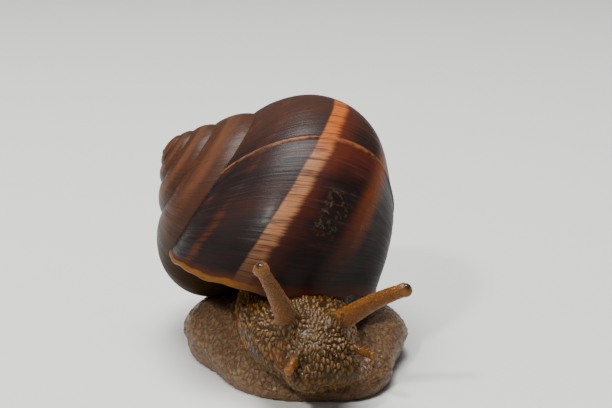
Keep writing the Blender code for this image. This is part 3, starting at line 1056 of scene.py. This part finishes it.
@dataclass(frozen=True)
class Feeler:
    """One feeler: where it starts and ends, and its half widths at root, shaft and bulb."""

    root: Place
    tip: Place
    root_half: float
    shaft_half: float
    bulb_half: float
    bow: float
    zone: Zone = Zone.FEELER
    shaft_rings: float = 0.6
    bulb_start: float = 0.22 * math.pi
    bulb_turn: float = 0.76 * math.pi
    bulb_length: float = 1.9
    rings: int = 46
    sides: int = 26

    def form(self, rule: SpiralRule) -> Solid:
        """The feeler's form.

        Args:
            rule: The shell's rule, whose centre the places are measured from.

        Returns:
            The closed form.
        """
        root, tip = rule.at_centre(*self.root), rule.at_centre(*self.tip)
        along = (tip - root).normalized()
        across = along.cross(Vector((0, 1, 0))).normalized()
        other = along.cross(across)
        bulb_from = 1 - self.bulb_length * self.bulb_half / (tip - root).length
        start, stop = math.cos(self.bulb_start), math.cos(self.bulb_start + self.bulb_turn)
        made = []
        for ring in range(self.rings):
            u = ring / (self.rings - 1)
            if u < self.shaft_rings:
                place = bulb_from * u / self.shaft_rings
                half = self.shaft_half + (self.root_half - self.shaft_half) * (1 - place) ** 1.7
            else:
                share = (u - self.shaft_rings) / (1 - self.shaft_rings)
                angle = self.bulb_start + self.bulb_turn * share
                place = bulb_from + (1 - bulb_from) * (start - math.cos(angle)) / (start - stop)
                half = max(self.bulb_half * math.sin(angle), 0.06 * self.bulb_half)
                if angle < math.pi / 2:
                    half = max(half, self.shaft_half)
            middle = root + (tip - root) * place + UP * (self.bow * math.sin(math.pi * place))
            steps = circle(self.sides)
            made.append([middle + across * (half * cos) + other * (half * sin) for cos, sin in steps])
        return closed_form(self.zone, made)


@dataclass
class Skin:
    """The one skin of foot, mantle collar, neck, head, lobes and feelers.

    Stations are (Y, X, half width, height, share by which the left side is lower) for the foot
    and (Y, X, middle height, half width, half height) for the head, from the shell's centre.
    Column rings are (height, share of the full width), and collar rings (share of the way in
    from the mouth's outline, rise).
    """

    rule: SpiralRule = field(default_factory=SpiralRule)
    foot_stations: Table = (
        (-0.0325, 0.0100, 0.0042, 0.0018, 0.00),
        (-0.0308, 0.0098, 0.0092, 0.0036, 0.00),
        (-0.0262, 0.0088, 0.0136, 0.0062, 0.03),
        (-0.0208, 0.0078, 0.0155, 0.0084, 0.05),
        (-0.0160, 0.0069, 0.0180, 0.0098, 0.06),
        (-0.0115, 0.0065, 0.0194, 0.0100, 0.07),
        (-0.0060, 0.0062, 0.0190, 0.0094, 0.06),
        (0.0030, 0.0057, 0.0164, 0.0082, 0.03),
        (0.0150, 0.0048, 0.0128, 0.0070, 0.00),
        (0.0280, 0.0040, 0.0090, 0.0053, 0.00),
        (0.0395, 0.0034, 0.0051, 0.0033, 0.00),
        (0.0452, 0.0032, 0.0025, 0.0018, 0.00),
        (0.0478, 0.0031, 0.0007, 0.0008, 0.00),
    )
    head_stations: Table = (
        (-0.0130, 0.0050, 0.0098, 0.0088, 0.0066),
        (-0.0200, 0.0060, 0.0101, 0.0091, 0.0066),
        (-0.0270, 0.0071, 0.0102, 0.0092, 0.0065),
        (-0.0315, 0.0082, 0.0100, 0.0086, 0.0062),
        (-0.0350, 0.0093, 0.0097, 0.0068, 0.0055),
        (-0.0380, 0.0105, 0.0093, 0.0049, 0.0044),
        (-0.0401, 0.0113, 0.0087, 0.0035, 0.0034),
        (-0.0414, 0.0117, 0.0083, 0.0021, 0.0020),
        (-0.0419, 0.0118, 0.0081, 0.0008, 0.0007),
    )
    column_rings: Table = ((4.0 * MM, 1.0), (11.0 * MM, 0.97), (16.0 * MM, 0.9), (20.0 * MM, 0.80))
    collar_rings: Table = (
        (0.16, 4.6 * MM),
        (0.06, 3.0 * MM),
        (0.03, 1.4 * MM),
        (0.05, 0.4 * MM),
        (0.12, 0.0),
        (0.25, 0.5 * MM),
    )
    foot_rings: int = 110
    foot_sides: int = 72
    head_rings: int = 64
    head_sides: int = 60
    column_sides: int = 56
    lobe_rings: int = 16
    lobe_sides: int = 24
    collar_steps: int = 40
    sole_inset: float = 0.93
    foot_edge: float = 0.25
    foot_fullness: float = 0.62
    mantle_centre: tuple[float, float] = (6.3 * MM, -16.5 * MM)
    mantle_half: tuple[float, float] = (9.4 * MM, 7.6 * MM)
    collar_centre: Place = (5.0 * MM, -17.0 * MM, 0.0)
    face_x: float = 10.0 * MM
    face_y: float = -36.0 * MM
    face_turn: float = math.radians(25)
    lobe_centre: Place = (3.6 * MM, 3.0 * MM, 7.3 * MM)
    lobe_half: Place = (2.5 * MM, 2.3 * MM, 1.9 * MM)
    slit_centre: Place = (11.6 * MM, -41.0 * MM, 6.3 * MM)
    slit_half: Place = (1.6 * MM, 2.0 * MM, 0.40 * MM)
    slit_depth: float = 0.55 * MM
    shell_gap: float = 0.25 * MM
    shell_weld: float = 0.002 * MM
    voxel: float = 0.54 * MM
    fine_from: float = -20.5 * MM
    fine_above: float = 4.0 * MM
    finer_from: float = -27.0 * MM
    finer_above: float = 8.5 * MM
    settle_reach: float = 4 * MM
    mark_reach: float = 3 * MM
    sole_height: float = 0.3 * MM
    even_rounds: int = 5
    even_share: float = 0.6
    most_sunk: float = 0.25 * MM
    most_raised: float = 0.6 * MM
    wart_height: float = 0.30 * MM
    wart_size: Place = (0.54 * MM, 1.15 * MM, 1.05 * MM)
    furrow_size: Place = (0.85 * MM, 0.85 * MM, 5.0 * MM)
    fold_height: float = 0.42 * MM
    groove_depth: float = 0.22 * MM

    def at_face(self, sideways: float, forward: float, height: float, side: Side) -> Place:
        """A place on the turned face, from the shell's centre; the right side mirrors the left.

        Args:
            sideways: How far it lies from the middle of the face.
            forward: How far in front of the pivot.
            height: How far above the floor.
            side: The side.

        Returns:
            The place.
        """
        cos, sin, out = math.cos(self.face_turn), math.sin(self.face_turn), side.value * sideways
        place = (self.face_x + out * cos + forward * sin, self.face_y + out * sin - forward * cos)
        return (*place, height)

    def feelers(self) -> dict[str, Feeler]:
        """The four feelers.

        Returns:
            Each feeler by the name of its solid.
        """
        right = (0.0066, -0.0340, 0.0115), (0.0012, -0.0412, 0.0260), 0.0024, 0.00095, 0.00128
        left = (0.0122, -0.0336, 0.0130), (0.0243, -0.0383, 0.0214), 0.0019, 0.00108, 0.00120
        upper = {"tentacle_upper_right": right, "tentacle_upper_left": left}
        made = {name: Feeler(*numbers, bow=0.0008) for name, numbers in upper.items()}
        for side in Side:
            root = self.at_face(0.0030, 0.0008, 0.0110, side)
            tip = self.at_face(0.0076, 0.0058, 0.0099, side)
            halves = (0.0014, 0.00060, 0.00072)
            lower = Feeler(root, tip, *halves, bow=0.0003, zone=Zone.SMALL_FEELER)
            made["tentacle_lower_" + side.word] = lower
        return made

    def _foot(self) -> Solid:
        """The foot: a flat sole and a rounded back.

        Returns:
            The closed form.
        """
        made = []
        for y, x, half, height, drop in smooth_through(self.foot_stations, self.foot_rings):
            ring = []
            for across, rise in circle(self.foot_sides):
                if rise > 1e-6:
                    edge = self.foot_edge * height
                    top = height * (1 - drop * across) - edge
                    z = edge + top * rise**self.foot_fullness
                    ring.append(self.rule.at_centre(x + half * across, y, z))
                else:
                    ring.append(self.rule.at_centre(x + self.sole_inset * half * across, y, 0))
            made.append(ring)
        return closed_form(Zone.FOOT, made)

    def _head(self) -> Solid:
        """The neck and head in one.

        Returns:
            The closed form.
        """
        rows = smooth_through(self.head_stations, self.head_rings)
        turns = np.arctan2(np.gradient(rows[:, 1]), -np.gradient(rows[:, 0]))
        made = []
        for (y, x, middle, half, rise), turn in zip(rows, turns):
            ring = []
            for cos, sin in circle(self.head_sides):
                ahead = y + half * cos * math.sin(turn)
                spot = self.rule.at_centre(x + half * cos * math.cos(turn), ahead, middle + rise * sin)
                ring.append(spot)
            made.append(ring)
        return closed_form(Zone.HEAD, made)

    def _column(self) -> Solid:
        """The column of flesh that rises from the foot into the shell's mouth.

        Returns:
            The closed form.
        """
        (x, y), (wide, deep) = self.mantle_centre, self.mantle_half
        made = [
            [
                self.rule.at_centre(x + share * wide * cos, y + share * deep * sin, height)
                for cos, sin in circle(self.column_sides)
            ]
            for height, share in self.column_rings
        ]
        return closed_form(Zone.COLLAR, made)

    def _lobe(self, side: Side) -> Solid:
        """The soft lobe beside the mouth.

        Args:
            side: The side it lies on.

        Returns:
            The closed form.
        """
        middle = self.rule.at_centre(*self.at_face(*self.lobe_centre, side))
        turn = Matrix.Rotation(self.face_turn, 3, "Z")
        wide, deep, high = self.lobe_half
        made = []
        for ring in range(self.lobe_rings):
            pitch = math.pi * (0.03 + 0.94 * ring / (self.lobe_rings - 1))
            out, up = math.sin(pitch), high * math.cos(pitch)
            steps = circle(self.lobe_sides)
            flat = [Vector((wide * out * cos, deep * out * sin, up)) for cos, sin in steps]
            made.append([middle + turn @ point for point in flat])
        return closed_form(Zone.LOBE, made)

    def _collar(self) -> Solid:
        """The thick edge of the mantle, which fills the shell's mouth behind its lip.

        Returns:
            The closed form.
        """
        rule, count = self.rule, self.collar_steps
        outline = []
        for step in range(count):
            angle = rule.seam_top + (rule.base_end - rule.seam_top) * step / (count - 1)
            outline.append(rule.place(0.0, angle, -1.0 * MM))
        for step in range(1, count // 2 + 1):
            angle = rule.base_end + (rule.seam_low - rule.base_end) * step / (count // 2 + 1)
            # The wall that the mouth closes on is one turn back, without the lip's slant.
            outline.append(rule.place(FULL_TURN + rule.skew(angle), angle, 0.3 * MM))
        middle = sum(outline, Vector()) / len(outline)
        middle.xy = rule.at_centre(*self.collar_centre).xy
        rings = [
            [point.lerp(middle, inset) + UP * rise for point in outline]
            for inset, rise in self.collar_rings
        ]
        return closed_form(Zone.COLLAR, rings)

    def _cut_clear(self, form: Solid) -> Solid:
        """Cuts the shell's own space, a little grown, out of a form.

        Args:
            form: The form.

        Returns:
            The form that is left.
        """
        shape = bmesh.new()
        shape.from_mesh(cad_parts["shell"].data)
        bmesh.ops.remove_doubles(shape, verts=shape.verts, dist=self.shell_weld)
        shape.normal_update()
        for vertex in shape.verts:
            vertex.co += vertex.normal * self.shell_gap
        cutter = placed("shell_space", bpy.data.meshes.new("shell_space"))
        shape.to_mesh(cutter.data)
        shape.free()
        made = changed(form.mesh(), "BOOLEAN", operation="DIFFERENCE", solver="EXACT", object=cutter)
        bpy.data.objects.remove(cutter, do_unlink=True)
        points = [vertex.co.copy() for vertex in made.vertices]
        return Solid(form.zone, points, [tuple(face.vertices) for face in made.polygons])

    def _forms(self) -> dict[str, Solid]:
        """Makes every form of the body.

        Returns:
            The forms by name.
        """
        forms = {"foot": self._cut_clear(self._foot()), "head": self._head()}
        forms |= {"column": self._column(), "collar": self._collar()}
        forms |= {"mouth_lobe_" + side.word: self._lobe(side) for side in Side}
        return forms | {name: feeler.form(self.rule) for name, feeler in self.feelers().items()}

    def _one_surface(self, forms: dict[str, Solid]) -> Mesh:
        """Joins the forms into one closed surface of even faces.

        Args:
            forms: The forms by name.

        Returns:
            The mesh.
        """
        points, faces = [], []
        for form in forms.values():
            faces += [tuple(index + len(points) for index in face) for face in form.faces]
            points += form.points
        joined = Solid(Zone.FOOT, points, faces).mesh()
        return changed(joined, "REMESH", mode="VOXEL", voxel_size=self.voxel)

    def _settle(self, mesh: Mesh, forms: dict[str, Solid], rounds: int, all_points: bool) -> None:
        """Moves the surface onto the forms, rounded where two of them meet.

        Args:
            mesh: The one surface.
            forms: The forms by name.
            rounds: How often each point is moved.
            all_points: Whether points away from the meetings move too.
        """
        places = points_of(mesh)
        widths = np.array([form.zone.value for form in forms.values()])
        moving = places[:, 2] > self.sole_height
        for _ in range(rounds):
            reach = [form.reach(places[moving], self.settle_reach) for form in forms.values()]
            reach = np.stack(reach, axis=1)
            order = np.argsort(reach, axis=1)[:, :2]
            near, next_near = np.take_along_axis(reach, order, axis=1).T
            width = widths[order].min(axis=1)
            share = np.maximum(width - (next_near - near), 0) / width
            active = (share > 0) | all_points
            step = np.clip(share**2 * width / 4 - near, -self.most_sunk, self.most_raised) * active
            normals = np.array([vertex.normal for vertex in mesh.vertices])[moving]
            places[moving] += normals * step[:, None]
            moving[np.flatnonzero(moving)] = active
            move_points(mesh, places)
        if not all_points:
            self._relax(mesh, moving.astype(float))

    def _relax(self, mesh: Mesh, weight: np.ndarray) -> None:
        """Evens the surface where its weight is 1, then flattens the sole.

        Args:
            mesh: The one surface.
            weight: How much each point moves, from 0 to 1.
        """
        places = points_of(mesh)
        pairs = np.empty(len(mesh.edges) * 2, int)
        mesh.edges.foreach_get("vertices", pairs)
        first, second = pairs.reshape(-1, 2).T
        count = np.bincount(pairs, minlength=len(places))[:, None]
        for _ in range(self.even_rounds):
            total = np.zeros_like(places)
            np.add.at(total, first, places[second])
            np.add.at(total, second, places[first])
            places += (total / count - places) * (self.even_share * weight)[:, None]
        places[places[:, 2] < self.sole_height / 2, 2] = 0.0
        move_points(mesh, places)

    def _refine(self, mesh: Mesh) -> None:
        """Gives the neck and head faces of half the size, and the face a quarter.

        Args:
            mesh: The one surface.
        """
        shape = bmesh.new()
        shape.from_mesh(mesh)
        neck = (self.fine_from, self.fine_above, 0.7)
        face = (self.finer_from, self.finer_above, 0.0)
        for start, above, smooth in (neck, face):
            limit = self.rule.at_centre(0, start, 0).y
            inside = {vertex for vertex in shape.verts if vertex.co.y < limit and vertex.co.z > above}
            edges = [edge for edge in shape.edges if inside.issuperset(edge.verts)]
            bmesh.ops.subdivide_edges(shape, edges=edges, cuts=1, use_grid_fill=True, smooth=smooth)
        shape.to_mesh(mesh)
        shape.free()

    def _mark(self, mesh: Mesh, forms: dict[str, Solid]) -> None:
        """Stores on each point how much of each zone it is.

        Args:
            mesh: The one surface.
            forms: The forms by name.
        """
        places = points_of(mesh)
        reach = {name: form.reach(places, self.mark_reach) for name, form in forms.items()}

        def beside(name: str, width: float) -> np.ndarray:
            """1 in a form, fading over a width outside it."""
            return np.exp(-np.maximum(reach[name], 0) / width)

        def clear_of(name: str, width: float) -> np.ndarray:
            """0 beside a form, growing to 1 over a width."""
            return np.clip((reach[name] - 0.2 * MM) / width, 0, 1)

        feeler = np.zeros(len(places))
        tip = np.zeros(len(places))
        out = clear_of("head", 2.6 * MM)
        out = out * out * (3 - 2 * out)
        for name, shape in self.feelers().items():
            root, end = (np.array(self.rule.at_centre(*at)) for at in (shape.root, shape.tip))
            along = (places - root) @ (end - root) / ((end - root) @ (end - root))
            close = beside(name, 0.30 * MM)
            feeler = np.maximum(feeler, close * out)
            tip = np.maximum(tip, np.clip(along, 0, 1) * (close > 0.3))
        foot, head = beside("foot", 0.8 * MM), beside("head", 0.8 * MM)
        apart = clear_of("head", 1.2 * MM) * clear_of("foot", 1.2 * MM)
        # The collar number also says where the material paints the collar's shade.
        collar = np.maximum(beside("collar", 0.5 * MM), beside("column", 0.5 * MM) * apart)
        eyes = [np.array(Eyes(self).centre(side)) for side in Side]
        to_eye = np.min([np.linalg.norm(places - eye, axis=1) for eye in eyes], axis=0)
        numbers = {
            "feeler": feeler,
            "tip": tip,
            "foot": foot / (foot + head + 1e-9) * (1 - feeler),
            "collar": collar,
            "low": np.clip(1 - places[:, 2] / (3.2 * MM), 0, 1),
            "lid": np.clip((0.85 * MM - to_eye) / (0.30 * MM), 0, 1),
        }
        for name, number in numbers.items():
            attribute = mesh.attributes.new(name, "FLOAT", "POINT")
            attribute.data.foreach_set("value", number.astype(np.float32))

    def _relief(self, finish: Finish) -> Recipe:
        """The tree that raises warts, folds and furrows on the skin.

        Args:
            finish: The skin's material.

        Returns:
            The finished tree.
        """
        sizes = {
            "wart_height": self.wart_height,
            "wart_size": Vector([1 / size for size in self.wart_size]),
            "furrow_size": Vector([1 / size for size in self.furrow_size]),
            "fold_height": self.fold_height,
            "slit_centre": self.rule.at_centre(*self.slit_centre),
            "finish": finish,
        }
        recipe = Recipe("skin_relief", sizes, mesh_in=True)
        tree, given = recipe.tree, recipe.given
        spot = add(tree, "GeometryNodeInputPosition")
        normal = add(tree, "GeometryNodeInputNormal")
        names = ("feeler", "foot", "collar", "low", "lid")
        feeler, foot, collar, low, lid = marked(tree, *names)
        warp = spot.noise(260.0, 1.0) - 0.5
        pushed = spot.vector("ADD", normal.vector("SCALE", warp * 0.9 * MM))
        grain = pushed.vector("MULTIPLY", given.wart_size)
        border = grain.cells("DISTANCE_TO_EDGE").spread(0.02, 0.24)
        warts = border * (1.0 - grain.cells().spread(0.0, 0.9) * 0.6)
        furrowed = spot.vector("MULTIPLY", given.furrow_size)
        furrows = furrowed.cells("DISTANCE_TO_EDGE").spread(0.0, 0.22)
        skirt = low.spread(0.25, 0.55) * foot.spread(0.3, 0.8)
        tiny = pushed.vector("SCALE", 2600.0).cells("DISTANCE_TO_EDGE").spread(0.02, 0.30)
        warts = warts + (tiny - warts) * feeler.spread(0.2, 0.8)
        crest = warts * (1.0 - skirt) + furrows * skirt
        strength = (1.0 - feeler.spread(0.1, 0.7) * 0.70) * (1.0 - skirt * 0.45)
        strength = strength * (1.0 - foot.spread(0.5, 1.0) * 0.15) * (1.0 - collar * 0.7)
        lift = (crest - 0.55) * strength * (1.0 - lid) * given.wart_height
        folds = spot.vector("MULTIPLY", (420.0, 110.0, 130.0)).noise(1.0) - 0.5
        lift = lift + folds * given.fold_height * (1.0 - feeler * 0.8)
        groove = low.near(0.27, 0.02, 0.09) * foot.spread(0.3, 0.8) * -self.groove_depth
        apart = spot.vector("SUBTRACT", given.slit_centre).vector("DIVIDE", self.slit_half)
        a, b, c = apart.vector("MULTIPLY", apart).parts()
        slit = (a + b + c).spread(0.2, 1.6, 1.0, 0.0) * -self.slit_depth
        sole = spot.parts()[2].spread(0.25 * MM, 0.7 * MM)
        offset = normal.vector("SCALE", (lift + groove + slit) * sole)
        inputs = {"Geometry": keep_numbers(given.mesh, {"crest": crest}), "Offset": offset}
        recipe.close(add(tree, "GeometryNodeSetPosition", inputs))
        return recipe

    def build(self, finish: Finish) -> Piece:
        """Builds the skin.

        Args:
            finish: Its material.

        Returns:
            The skin.
        """
        forms = self._forms()
        log.info("skin: %d forms", len(forms))
        mesh = self._one_surface(forms)
        log.info("skin: one surface of %d faces", len(mesh.polygons))
        self._settle(mesh, forms, rounds=3, all_points=False)
        self._refine(mesh)
        self._settle(mesh, forms, rounds=1, all_points=True)
        self._mark(mesh, forms)
        piece = self._relief(finish).run("skin", mesh)
        move_points(piece.data, np.maximum(points_of(piece.data), (-np.inf, -np.inf, 0.0)))
        return piece

    def dress(self, piece: Piece) -> None:
        """Puts the skin in the place of the flesh's solids.

        Args:
            piece: The skin.
        """
        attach(piece, "root")
        names = ["mantle", "neck", "head", "foot_front", "foot_middle", "tail"]
        names += ["mouth_lobe_" + side.word for side in Side]
        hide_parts(*names, *self.feelers())


@dataclass(frozen=True)
class EyeFinish:
    """A black bead under a thin clear film."""

    black: Colour = (0.006, 0.005, 0.006)
    brown: Colour = (0.045, 0.022, 0.012)
    film: float = 0.25
    film_roughness: float = 0.04

    def make(self) -> Finish:
        """Builds the material.

        Returns:
            The material.
        """
        material, tree = blank_material("eye_bead")
        cloud = place_here(tree).noise(1800.0, 3.0)
        inputs = {
            "Base Color": cloud.between(self.black, self.brown),
            "Roughness": cloud.spread(0.3, 0.7, 0.10, 0.22),
            "Coat Weight": self.film,
            "Coat Roughness": self.film_roughness,
        }
        return filled(material, inputs)


@dataclass
class Eyes:
    """The two eyes, each a bead sunk in the tip of an upper feeler."""

    skin: Skin
    radius: float = 0.52 * MM
    sink: float = 0.40 * MM
    bulb_depth: float = 1.07
    towards_left: Place = (0.30, -0.42, 0.86)
    towards_right: Place = (-0.20, -0.42, 0.88)

    def centre(self, side: Side) -> Vector:
        """The middle of one eye, near the top of its feeler's bulb.

        Args:
            side: The eye's side.

        Returns:
            The place.
        """
        feeler = self.skin.feelers()["tentacle_upper_" + side.word]
        root, tip = (self.skin.rule.at_centre(*at) for at in (feeler.root, feeler.tip))
        bulb = tip - (tip - root).normalized() * self.bulb_depth * feeler.bulb_half
        towards = Vector(self.towards_left if side is Side.LEFT else self.towards_right)
        return bulb + towards.normalized() * (feeler.bulb_half - self.sink)

    def build(self, finish: Finish) -> dict[Side, Piece]:
        """Builds both eyes.

        Args:
            finish: Their material.

        Returns:
            The eye of each side.
        """
        made = {}
        for side in Side:
            shape = bmesh.new()
            spot = Matrix.Translation(self.centre(side))
            bmesh.ops.create_icosphere(shape, subdivisions=4, radius=self.radius, matrix=spot)
            for face in shape.faces:
                face.smooth = True
            mesh = bpy.data.meshes.new("eyeball_" + side.word)
            shape.to_mesh(mesh)
            shape.free()
            mesh.materials.append(finish)
            made[side] = placed("eyeball_" + side.word, mesh)
        return made

    def dress(self, made: dict[Side, Piece]) -> None:
        """Puts each eye in the place of its solid.

        Args:
            made: The eye of each side.
        """
        for side, piece in made.items():
            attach(piece, "root")
            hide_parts("eye_" + side.word)


@dataclass
class Studio:
    """A plain pale floor, soft lamps and the camera at the picture's angle."""

    floor_side: float = 8.0
    floor_drop: float = 0.1 * MM
    floor_colour: Colour = (0.64, 0.65, 0.63)
    air_colour: Colour = (0.86, 0.88, 0.88)
    air_strength: float = 0.20
    camera_place: Place = (4.629 * MM, -256.170 * MM, 96.576 * MM)
    camera_pitch: float = math.radians(74)
    lens: float = 88.32
    target: Place = (0.002, -0.005, 0.018)

    def floor(self) -> None:
        """Lays the floor, with a faint mottle."""
        half = self.floor_side / 2
        corners = [(-half, -half, 0), (half, -half, 0), (half, half, 0), (-half, half, 0)]
        mesh = bpy.data.meshes.new("floor")
        mesh.from_pydata(corners, [], [(0, 1, 2, 3)])
        material, tree = blank_material("pale_floor")
        cloud = place_here(tree).noise(9.0, 3.0)
        low = tuple(0.97 * part for part in self.floor_colour)
        inputs = {"Base Color": cloud.between(low, self.floor_colour), "Roughness": 0.75}
        mesh.materials.append(filled(material, inputs))
        made = placed("floor", mesh)
        made.location.z = -self.floor_drop

    def light(self) -> None:
        """Hangs three square soft lamps that face the snail, and sets the light of the air."""
        for name, place, side, watts, tint in (
            ("top", (-0.06, 0.06, 0.75), 0.45, 11.5, (1.0, 0.99, 0.98)),
            ("key", (-0.27, -0.42, 0.50), 0.06, 3.3, (1.0, 0.97, 0.93)),
            ("side", (-0.60, -0.10, 0.32), 0.45, 0.6, (1.0, 0.98, 0.95)),
        ):
            light = bpy.data.lights.new(name, "AREA")
            light.shape = "SQUARE"
            light.size = side
            light.energy = watts
            light.color = tint
            made = placed(name, light)
            made.location = place
            aim = Vector(self.target) - Vector(place)
            made.rotation_euler = aim.to_track_quat("-Z", "Y").to_euler()
        world = bpy.data.worlds.new("studio")
        world.use_nodes = True
        air = world.node_tree.nodes["Background"]
        put(air.inputs["Color"], self.air_colour)
        put(air.inputs["Strength"], self.air_strength)
        bpy.context.scene.world = world

    def camera(self) -> None:
        """The camera, level from side to side and pitched down."""
        data = bpy.data.cameras.new("camera")
        data.lens = self.lens
        data.sensor_width = 36.0
        data.clip_start, data.clip_end = 0.01, 50.0
        made = placed("camera", data)
        made.location = self.camera_place
        made.rotation_euler = (self.camera_pitch, 0.0, 0.0)
        bpy.context.scene.camera = made

    def build(self) -> None:
        """Sets up the whole studio."""
        self.floor()
        self.light()
        self.camera()


def main() -> None:
    """Builds the snail and its studio, and reports each piece."""
    logging.basicConfig(level=logging.INFO, format="%(message)s")
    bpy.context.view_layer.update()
    shell = ShellCoil()
    coil = shell.build(ShellFinish().make())
    shell.dress(coil)
    log.info("shell: %d triangles", triangles(coil.data))
    body = Skin()
    skin = body.build(SkinFinish().make())
    body.dress(skin)
    log.info("skin: %d triangles", triangles(skin.data))
    eyes = Eyes(body)
    beads = eyes.build(EyeFinish().make())
    eyes.dress(beads)
    for piece in beads.values():
        log.info("%s: %d triangles", piece.name, triangles(piece.data))
    Studio().build()
    log.info("studio set")


if __name__ == "__main__":
    main()
